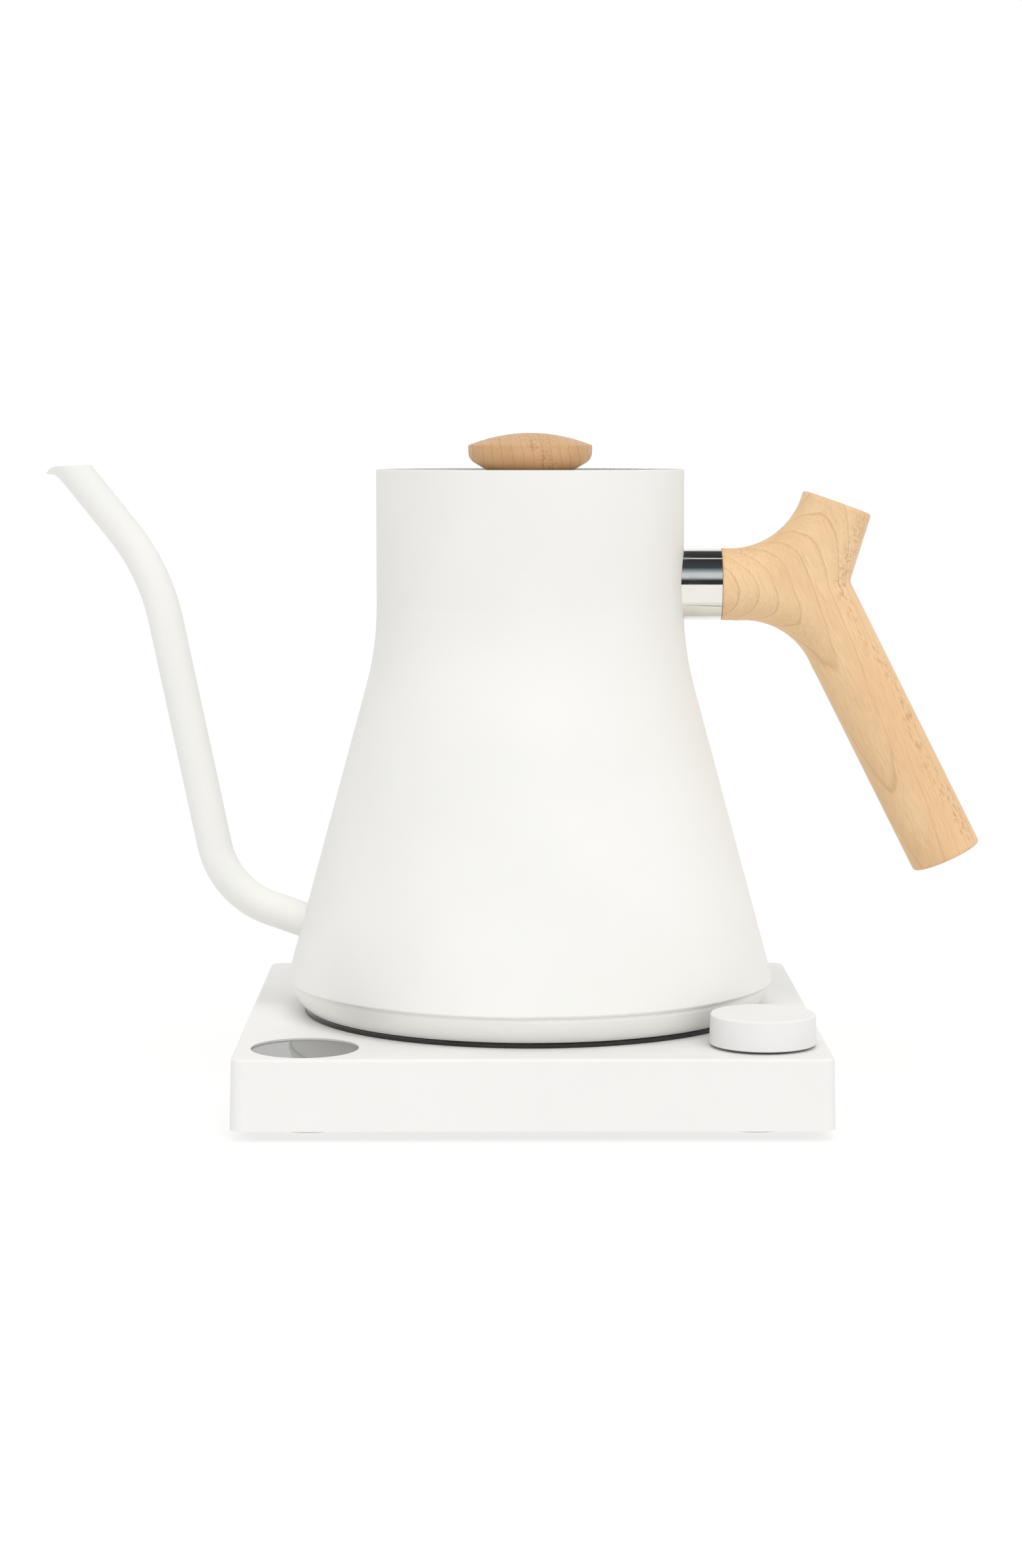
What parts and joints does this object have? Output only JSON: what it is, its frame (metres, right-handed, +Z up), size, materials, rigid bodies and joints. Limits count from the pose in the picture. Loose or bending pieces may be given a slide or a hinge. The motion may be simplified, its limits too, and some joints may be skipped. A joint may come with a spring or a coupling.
{
  "type": "gooseneck kettle",
  "caption": "Electric gooseneck pour-over kettle with wooden pistol grip and lid knob, standing on a square powered base with a round display and a push dial.",
  "frame": {"origin": "centre of the bounding box's footprint, on the plane the feet stand on", "axes": "+X from the spout's lip towards the grip, -Y the front with the display and dial, +Z up"},
  "size_m": [0.2891, 0.1746, 0.2029],
  "materials": {
    "powder_coat": "matte white powder coat",
    "base_plastic": "matte white",
    "skirt_plastic": "satin off-white",
    "gloss_black": "gloss black",
    "dark_plastic": "matte black",
    "relay_plastic": "moulded",
    "circuit_board": "coated laminate",
    "display_lens": "smoked clear",
    "rubber": "matte",
    "silicone": "translucent grey",
    "screw_steel": "plain",
    "inner_steel": "brushed stainless",
    "chrome": "polished",
    "aluminium": "cast",
    "brass": "plain",
    "maple": "oiled maple"
  },
  "bodies": {
    "base": {"base_housing": "base_plastic", "base_cover": "dark_plastic", "rubber_feet": "silicone", "base_screws": "screw_steel", "dock_plate": "gloss_black", "power_socket": "gloss_black", "socket_contacts": "brass", "main_board": "circuit_board", "board_posts": "dark_plastic", "power_relay": "relay_plastic", "supply_module": "relay_plastic", "terminal_block": "relay_plastic", "display_lens": "display_lens", "lcd_panel": "gloss_black", "display_board": "circuit_board", "encoder_board": "circuit_board", "encoder_body": "screw_steel", "cord_gland": "rubber", "switch_body": "dark_plastic"},
    "rotor": {"encoder_rotor": "dark_plastic"},
    "dial": {"control_dial": "base_plastic", "encoder_shaft": "screw_steel"},
    "hold_switch": {"switch_slider": "dark_plastic"},
    "connector": {"kettle_plug": "gloss_black", "plug_contacts": "brass"},
    "kettle": {"kettle_shell": "powder_coat", "kettle_floor": "inner_steel", "spout": "powder_coat", "skirt_ring": "skirt_plastic", "kettle_cover": "gloss_black", "cover_posts": "dark_plastic", "cover_screws": "screw_steel", "heater_plate": "aluminium", "heating_element": "inner_steel", "temperature_sensor": "inner_steel", "sensor_seal": "silicone", "handle_ferrule": "chrome", "handle_stud": "screw_steel", "handle_washer": "dark_plastic", "handle_insert": "brass", "handle": "maple"},
    "lid": {"lid_disc": "powder_coat", "lid_cup": "inner_steel", "lid_gasket": "silicone", "lid_knob": "maple", "lid_insert": "brass", "lid_washer": "screw_steel", "lid_screw": "screw_steel"}
  },
  "joints": [
    {"name": "kettle_lift", "type": "slide", "parent": "base", "child": "connector", "axis": [0, 0, 1], "range_m": [0, 0.15]},
    {"name": "kettle_turn", "type": "hinge", "parent": "connector", "child": "kettle", "pos_m": [0.005, 0, 0.1], "axis": [0, 0, 1], "continuous": true},
    {"name": "lid_lift", "type": "slide", "parent": "kettle", "child": "lid", "axis": [0, 0, 1], "range_m": [0, 0.08]},
    {"name": "dial_turn", "type": "hinge", "parent": "base", "child": "rotor", "pos_m": [0.0726, -0.0654, 0.0242], "axis": [0, 0, 1], "continuous": true},
    {"name": "dial_press", "type": "slide", "parent": "rotor", "child": "dial", "axis": [0, 0, -1], "range_m": [0, 0.0005], "stiffness_N_per_m": 3000, "springref_m": -0.0003},
    {"name": "hold_slide", "type": "slide", "parent": "base", "child": "hold_switch", "axis": [1, 0, 0], "range_m": [0, 0.004]}
  ]
}
